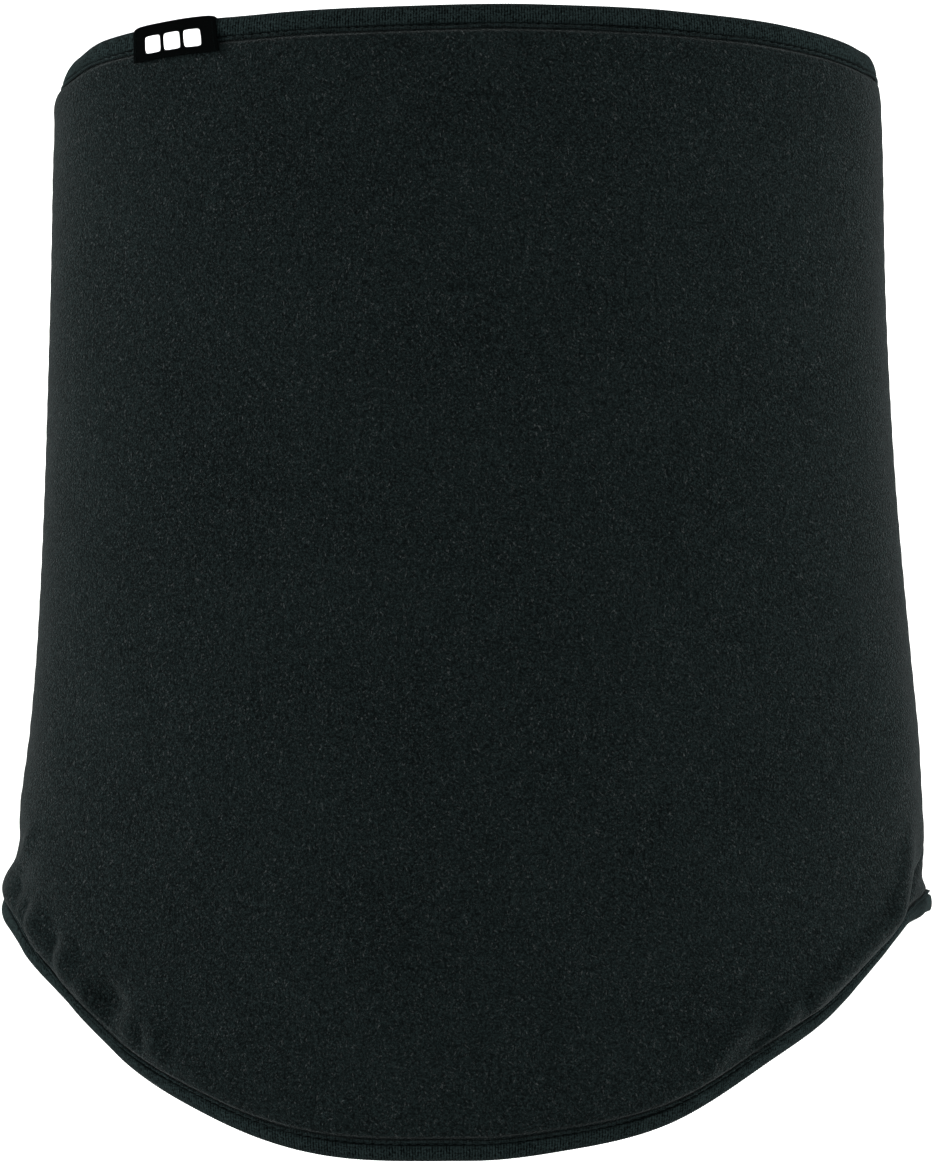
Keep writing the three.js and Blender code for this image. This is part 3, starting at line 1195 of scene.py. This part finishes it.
    def stitches(self, face: Face, node: str) -> bpy.types.Object:
        """Makes the row of lockstitches along one face of the binding.

        Args:
            face: Which face of the cloth.
            node: The CAD ring that the row replaces.

        Returns:
            The row as one piece.
        """
        pitch, thickness = 2.3 * MM, 0.34 * MM
        count = round(self.girth() / pitch)
        angle = self._even_angles((np.arange(count) + 0.5) / count)
        origin, inward, normal = self.form.edge_frame(self.edge, angle)
        row = np.array([self.stitch_row])
        stand = float(self.face_offset(row)[0]) + 0.12 * MM
        origins = origin + inward * self.stitch_row + normal * (stand * face.value)
        outward = normal * face.value
        along = np.cross(inward, outward)
        axes = np.stack([along, np.cross(outward, along), outward], axis=1)
        template = thread_template(pitch * 0.94, thickness)
        name = f"{self.edge.value}_stitches_{face.name.lower()}_row"
        piece = copies_of(template, name, origins, axes)
        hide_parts(node)
        return piece

    def tack(self, node: str) -> bpy.types.Object:
        """Makes the bar of close stitches where the tape's ends meet.

        Args:
            node: The CAD bar that it replaces.

        Returns:
            The bar as one piece.
        """
        low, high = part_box(node)
        middle = (Vector(low) + Vector(high)) / 2
        angle = math.atan2(middle.x / self.form.neck[0], -middle.y / self.form.neck[1])
        count = 9
        origin, inward, normal = self.form.edge_frame(self.edge, np.full(count, angle))
        steps = np.linspace(0.7 * MM, 3.4 * MM, count)
        stand = self.face_offset(steps) + 0.08 * MM
        origins = origin + inward * steps[:, None] + normal * stand[:, None]
        along = np.cross(inward, normal)
        lean = unit(along + inward * (0.12 * (-1.0) ** np.arange(count))[:, None])
        axes = np.stack([lean, np.cross(normal, lean), normal], axis=1)
        template = thread_template(1.7 * MM, 0.3 * MM)
        piece = copies_of(template, f"{self.edge.value}_tack", origins, axes)
        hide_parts(node)
        return piece


@dataclass
class SideSeam:
    """The two turned-in edges inside a side seam, pressed flat, with overlock thread over them."""

    form: TubeForm
    side: int
    node: str
    width: float = 6.0 * MM
    thickness: float = 1.5 * MM
    stitch_pitch: float = 2.9 * MM

    @property
    def angle(self) -> float:
        """Where the seam runs down the tube."""
        return self.side * math.pi / 2

    @property
    def label(self) -> str:
        """Left or right, as seen from the front."""
        return "left" if self.side < 0 else "right"

    def _heights(self) -> tuple[float, float]:
        """Returns the seam's lower and upper ends, clear of both bindings."""
        low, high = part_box(self.node)
        return low[2], high[2]

    def _frame_at(self, z: np.ndarray) -> tuple[np.ndarray, np.ndarray, np.ndarray]:
        """Returns points of the seam line inside the tube, with tangents and inward normals."""
        angle = np.full_like(z, self.angle)
        inward = -self.form.normal(angle, z)
        point = self.form.skin(angle, z) + inward * (self.form.fleece / 2)
        return point, unit(self.form.around(angle, z)), inward

    def allowance(self) -> bpy.types.Object:
        """Makes the turned-in edges: a soft rounded strip with a wavy cut side.

        Returns:
            The strip.
        """
        piece = grid_piece(f"seam_allowance_{self.label}", 24, 150)
        across, up = grid_shares(piece)
        low, high = self._heights()
        z = low + (high - low) * up
        point, around, inward = self._frame_at(z)
        turn = across * 2 * math.pi
        rumple = 0.25 * MM * np.sin(z / (5.8 * MM) * 2 * math.pi)
        flat = np.sign(np.cos(turn)) * np.abs(np.cos(turn)) ** 0.55 * self.width / 2
        flat = flat + rumple
        tall = np.sign(np.sin(turn)) * np.abs(np.sin(turn)) ** 0.7 * self.thickness / 2
        lift = self.thickness / 2 - 0.1 * MM
        points = point - around * (flat * self.side)[:, None] + inward * (tall + lift)[:, None]
        place_points(piece, points)
        scale_uv(piece, self.width * 2, high - low)
        close_and_turn_out(piece, fill_ends=True)
        smooth(piece)
        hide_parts(self.node)
        return piece

    def overlock(self) -> bpy.types.Object:
        """Makes the overlock thread: slanted loops across the allowance.

        Returns:
            The loops as one piece.
        """
        low, high = self._heights()
        count = int((high - low) / self.stitch_pitch)
        z = low + (np.arange(count) + 0.5) * self.stitch_pitch
        point, around, inward = self._frame_at(z)
        origins = point + inward * (self.thickness + 0.06 * MM)
        up = unit(np.cross(inward, around))
        places, axes = [], []
        for lean, shift in ((0.42, 0.0), (-0.30, 0.5)):
            along = unit(around + up * lean)
            places.append(origins + up * (shift * self.stitch_pitch))
            axes.append(np.stack([along, np.cross(inward, along), inward], axis=1))
        template = thread_template(self.width * 0.96, 0.32 * MM)
        name = f"overlock_thread_{self.label}"
        return copies_of(template, name, np.concatenate(places), np.concatenate(axes))


@dataclass
class BrandLabel:
    """A woven tab folded over the rim, with a plain motif in place of a name."""

    form: TubeForm
    node: str = "brand_label"
    width: float = 24.0 * MM
    shift: float = 0.5 * MM
    slant: float = 1.7 * MM
    drop: float = 8.8 * MM
    tape: float = 0.42 * MM
    stand: float = 1.75 * MM
    columns: int = 40
    rows: int = 60

    @property
    def angle(self) -> float:
        """The middle of the label, round the tube."""
        low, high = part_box(self.node)
        middle_x, middle_y = (low[0] + high[0]) / 2, (low[1] + high[1]) / 2
        return math.atan2(middle_x / self.form.neck[0], -middle_y / self.form.neck[1])

    @property
    def flat(self) -> tuple[float, float]:
        """The width and length that the tape was cut to."""
        return self.width, 2 * self.drop + math.pi * self.stand

    def point(self, along: np.ndarray, walk: np.ndarray, lift: float) -> np.ndarray:
        """Returns points on the label.

        Args:
            along: From -1 at the left end to 1 at the right end.
            walk: From -1 at the inner edge, over the fold at 0, to 1 at the outer edge.
            lift: How far out of the label's middle.

        Returns:
            Points in the last axis.
        """
        fold_share = 0.16
        depth = np.abs(walk)
        narrowed = 1 - 0.035 * np.clip(1 - depth / (2 * fold_share), 0, 1) ** 2
        leg = np.clip((depth - fold_share) / (1 - fold_share), 0, 1) * self.drop
        aslant = self.shift + self.slant * (leg / self.drop - 0.3)
        spread = (along * narrowed * self.width / 2 + aslant) / self.form.arc_rate(self.angle)
        origin, inward, normal = self.form.edge_frame(Edge.RIM, self.angle + spread)
        stand = self.stand + lift
        side = np.where(walk < 0, -1.0, 1.0)
        turn = np.clip(1 - depth / fold_share, 0, 1) * math.pi / 2
        swell = 0.25 * MM * np.sin(np.clip(leg / self.drop, 0, 1) * math.pi)
        straight_offset = stand + swell + 0.15 * MM * (leg / self.drop) ** 2
        crest = 1.35 * MM + lift - 0.55 * MM * np.abs(along) ** 12
        distance = np.where(turn > 0, -crest * np.sin(turn), leg)
        offset = np.where(turn > 0, stand * np.cos(turn) ** 0.6, straight_offset)
        return origin + inward * distance[:, None] + normal * (side * offset)[:, None]

    def tab(self) -> bpy.types.Object:
        """Makes the folded tape with its own thickness and soft edges.

        Returns:
            The tab.
        """
        piece = grid_piece("woven_tab", self.columns, self.rows)
        across, up = grid_shares(piece)
        place_points(piece, self.point(across * 2 - 1, up * 2 - 1, 0.0))
        scale_uv(piece, self.width, 2 * self.drop)
        apply_modifier(piece, "SOLIDIFY", thickness=self.tape, offset=0.0)
        apply_modifier(
            piece, "BEVEL", width=0.12 * MM, segments=2, limit_method="ANGLE", angle_limit=1.0
        )
        smooth(piece)
        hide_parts(self.node)
        return piece

    def motif(self) -> bpy.types.Object:
        """Makes three plain woven squares, raised a thread's height off the tab.

        Returns:
            The squares as one piece.
        """
        cells, half_width, half_height = 14, 0.19, 0.225
        parts = []
        for number, middle in enumerate((-0.47, 0.0, 0.47)):
            piece = grid_piece(f"square_{number}", cells, cells)
            across, up = grid_shares(piece)
            right, rise = across * 2 - 1, up * 2 - 1
            rounded = 1 - 0.09 * (right * rise) ** 4
            along = middle + half_width * right * rounded
            walk = 0.60 + half_height * rise * rounded
            place_points(piece, self.point(along, walk, self.tape / 2 + 0.03 * MM))
            scale_uv(piece, 4 * MM, 4 * MM)
            apply_modifier(piece, "SOLIDIFY", thickness=0.09 * MM, offset=0.0)
            parts.append(piece)
        return join_parts(parts, "woven_motif")

    def end_stitches(self, end: int, node: str) -> bpy.types.Object:
        """Makes the short row of stitches down one end.

        Args:
            end: -1 for the left end, 1 for the right end.
            node: The CAD bar that the row replaces.

        Returns:
            The row as one piece.
        """
        count = 4
        along = np.full(count, end * 0.93)
        walk = np.linspace(0.30, 0.90, count)
        here = self.point(along, walk, self.tape / 2 + 0.05 * MM)
        down = unit(self.point(along, walk + 0.02, self.tape / 2 + 0.05 * MM) - here)
        out = unit(self.point(along, walk, self.tape) - self.point(along, walk, 0.0))
        axes = np.stack([down, np.cross(out, down), out], axis=1)
        template = thread_template(1.7 * MM, 0.24 * MM)
        side = "left" if end < 0 else "right"
        piece = copies_of(template, f"tab_stitches_{side}", here, axes)
        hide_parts(node)
        return piece


@dataclass
class CareLabel:
    """A folded satin ribbon sewn in under the rim's binding, inside the back."""

    form: TubeForm
    node: str = "care_label"
    tape: float = 0.3 * MM
    header: float = 2.6 * MM
    columns: int = 26
    rows: int = 90
    bend: float = 5.0 * MM
    gap: float = 0.28 * MM
    curl: float = 0.5 * MM
    wave: float = 0.35 * MM
    line_lengths: tuple[float, ...] = (0.62, 0.74, 0.50, 0.70, 0.36, 0.66, 0.58)
    first_line: float = 6.5
    line_pitch: float = 3.6
    line_height: float = 0.9 * MM

    @property
    def flat(self) -> tuple[float, float]:
        """The width and length that the ribbon was cut to."""
        low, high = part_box(self.node)
        return high[0] - low[0], 2 * (high[2] + self.header - low[2])

    def _stand_off(
        self, share: np.ndarray, depth: np.ndarray, side: np.ndarray | float
    ) -> np.ndarray:
        """Returns how far a layer of the ribbon lies from the label's middle plane.

        Args:
            share: From 0 to 1 across the ribbon.
            depth: From 0 at the fold, below, to 1 at the sewn end.
            side: 1 for the layer behind, -1 for the one in front.

        Returns:
            Offsets towards the back.
        """
        gap = self.gap * (1 + 1.6 * (1 - depth) * np.minimum(depth * 12, 1))
        gap = np.where(depth < 0.02, self.gap * depth / 0.02, gap)
        curl = self.curl * np.sin(share * math.pi * 2 + 0.6) * (1 - depth)
        wave = self.wave * np.sin(depth * 7 + 1.0) * (1 - depth)
        return side * gap + curl + wave

    def shape(self) -> bpy.types.Object:
        """Makes the folded ribbon: down at the back, round the fold and up again.

        Returns:
            The ribbon.
        """
        low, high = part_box(self.node)
        width, top, bottom = high[0] - low[0], high[2] + self.header, low[2]
        middle = (low[1] + high[1]) / 2
        piece = grid_piece("satin_care_ribbon", self.columns, self.rows)
        across, up = grid_shares(piece)
        x = (across - 0.5) * width
        walk = up * 2 - 1
        depth = np.abs(walk)
        z = bottom + (top - bottom) * depth
        y = middle + self._stand_off(across, depth, np.sign(walk))
        wall = middle + 0.9 * MM
        rise = np.clip((z - (top - self.header)) / self.header, 0, 1)
        y = y + (wall - y) * 0.4 * rise
        place_points(piece, np.stack([x, y, z], axis=1))
        scale_uv(piece, width, 2 * (top - bottom))
        apply_modifier(piece, "SOLIDIFY", thickness=self.tape, offset=0.0)
        smooth(piece)
        return piece

    def print_lines(self) -> bpy.types.Object:
        """Makes the printed lines: plain bars of ink that say nothing.

        Returns:
            The bars as one piece.
        """
        low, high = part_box(self.node)
        width = high[0] - low[0]
        parts = []
        for number, length in enumerate(self.line_lengths):
            piece = grid_piece(f"ink_{number}", 16, 1)
            across, up = grid_shares(piece)
            x = (-0.37 + across * length) * width
            top = high[2] - (self.first_line + number * self.line_pitch) * MM
            z = top - up * self.line_height
            depth = (z - low[2]) / (high[2] + self.header - low[2])
            y = (low[1] + high[1]) / 2 + self._stand_off(x / width + 0.5, depth, -1.0)
            y = y - self.tape / 2 - 0.03 * MM
            place_points(piece, np.stack([x, y, z], axis=1))
            apply_modifier(piece, "SOLIDIFY", thickness=0.05 * MM, offset=0.0)
            parts.append(piece)
        return join_parts(parts, "printed_bars")

    def hang(self, piece: bpy.types.Object) -> None:
        """Bakes a piece's transform into its mesh."""
        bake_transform(piece)


@dataclass
class Studio:
    """A seamless white sweep, soft side lights and the camera."""

    distance: float = 1.5
    floor_gap: float = 0.10
    view_height: float = 0.3073
    sensor: float = 36.0
    cove_radius: float = 4.0
    bend: float = 1.4
    wall: float = 2.2

    def cove(self) -> bpy.types.Object:
        """Makes the floor, which curves up into a round wall on every side."""
        low = CAD_BOX[0][2] - self.floor_gap
        piece = grid_piece("studio_cove", 96, 48)
        across, up = grid_shares(piece)
        angle = across * 2 * math.pi
        flat_length, arc = self.cove_radius - self.bend, self.bend * math.pi / 2
        walk = up * (flat_length + arc + self.wall)
        turn = np.clip((walk - flat_length) / self.bend, 0, math.pi / 2)
        reach = np.minimum(walk, flat_length) + self.bend * np.sin(turn)
        z = low + self.bend * (1 - np.cos(turn)) + np.clip(walk - flat_length - arc, 0, None)
        place_points(piece, np.stack([reach * np.sin(angle), -reach * np.cos(angle), z], axis=1))
        edit(piece)
        bpy.ops.mesh.remove_doubles(threshold=1 * MM)
        bpy.ops.object.mode_set(mode="OBJECT")
        smooth(piece)
        piece.data.materials.append(StudioWhite().build())
        return piece

    def lamp(
        self, name: str, place: tuple[float, float, float], size: tuple[float, float], power: float
    ) -> None:
        """Adds a soft box that faces the middle of the gaiter."""
        target = Vector((0, 0, (CAD_BOX[0][2] + CAD_BOX[1][2]) / 2))
        data = bpy.data.lights.new(name, "AREA")
        data.shape, data.size, data.size_y, data.energy = "RECTANGLE", size[0], size[1], power
        lamp = bpy.data.objects.new(name, data)
        lamp.location = place
        lamp.rotation_euler = (target - Vector(place)).to_track_quat("-Z", "Y").to_euler()
        bpy.context.scene.collection.objects.link(lamp)

    def light(self) -> None:
        """Adds the lamps and the even light of a white room."""
        self.lamp("left_box", (-1.5, -0.36, 0.05), (0.9, 1.6), 89)
        self.lamp("right_box", (1.5, -0.25, 0.05), (0.9, 1.6), 80)
        self.lamp("front_box", (0.1, -2.4, 1.5), (1.6, 1.0), 8)
        world = bpy.data.worlds.new("white_room")
        world.use_nodes = True
        world.node_tree.nodes["Background"].inputs[0].default_value = (1.0, 1.0, 1.0, 1.0)
        world.node_tree.nodes["Background"].inputs[1].default_value = 0.45
        bpy.context.scene.world = world
        bpy.context.scene.view_settings.view_transform = "Standard"

    def camera(self) -> None:
        """Adds the camera, level with the middle of the gaiter and straight in front."""
        data = bpy.data.cameras.new("camera")
        data.sensor_width = self.sensor
        data.lens = self.sensor * self.distance / self.view_height
        camera = bpy.data.objects.new("camera", data)
        camera.location = (-0.0004, -self.distance, (CAD_BOX[0][2] + CAD_BOX[1][2]) / 2 - 0.7 * MM)
        camera.rotation_euler = (math.pi / 2, 0, 0)
        bpy.context.scene.collection.objects.link(camera)
        bpy.context.scene.camera = camera


# ---------------------------------------------------------------- the gaiter


def main() -> None:
    """Builds the studio and then the gaiter, piece by piece."""
    studio = Studio()
    studio.camera()
    studio.light()
    studio.cove()

    form = TubeForm()
    fleece = BrushedFleece().build()
    ribbed = RibbedTape().build()
    thread = TwistedThread("black_thread", grey(0.0055)).build()
    dark_thread = TwistedThread("darkest_thread", grey(0.0010), specular=0.01).build()
    woven = WovenTape("black_woven_tape", grey(0.0005), specular=0.004).build()
    white = WovenTape("white_woven_motif", (0.82, 0.83, 0.83, 1.0), roughness=0.7).build()
    satin = WovenTape(
        "white_satin", (0.62, 0.62, 0.60, 1.0), warp=9000, weft=21000,
        depth=0.02 * MM, roughness=0.38, specular=0.5,
    ).build()
    ink = WovenTape("grey_ink", (0.03, 0.03, 0.032, 1.0)).build()

    front = FleecePanel(form, "fleece_front", "front_panel", 0.0)
    back = FleecePanel(form, "fleece_back", "back_panel", math.pi)
    panels = [(panel, panel.build(fleece)) for panel in (front, back)]

    bindings, tapes = {}, {}
    for edge, node in ((Edge.RIM, "top"), (Edge.HEM, "hem")):
        binding = Binding(form, edge, f"{node}_binding")
        tape = binding.shape()
        dress(tape, ribbed, TUBE)
        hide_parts(f"{node}_binding")
        bindings[edge], tapes[edge] = binding, [tape]
        for face in Face:
            row = binding.stitches(face, f"{node}_stitches_{face.name.lower()}")
            dress(row, thread, TUBE)
            tapes[edge].append(row)
        tack = binding.tack(f"{node}_binding_tack")
        dress(tack, thread, TUBE)
        tapes[edge].append(tack)

    for side in (-1, 1):
        seam = SideSeam(form, side, f"side_seam_{'left' if side < 0 else 'right'}")
        dress(seam.allowance(), fleece, TUBE)
        dress(seam.overlock(), thread, TUBE)

    label = BrandLabel(form)
    tab, motif = label.tab(), label.motif()
    dress(tab, woven, TUBE)
    dress(motif, white, TUBE)
    for end, side in ((-1, "left"), (1, "right")):
        dress(label.end_stitches(end, f"brand_label_thread_{side}"), dark_thread, TUBE)

    care = CareLabel(form)
    ribbon, bars = care.shape(), care.print_lines()
    for piece, finish in ((ribbon, satin), (bars, ink)):
        piece.data.materials.clear()
        piece.data.materials.append(finish)
        care.hang(piece)
    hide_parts(care.node)

    for panel, piece in panels:
        panel.length
        panel.cut_area
    for edge, (tape, *threads) in tapes.items():
        bindings[edge].flat
    label.flat
    care.flat


if __name__ == "__main__":
    logging.basicConfig(level=logging.INFO, format="%(name)s %(message)s")
    main()
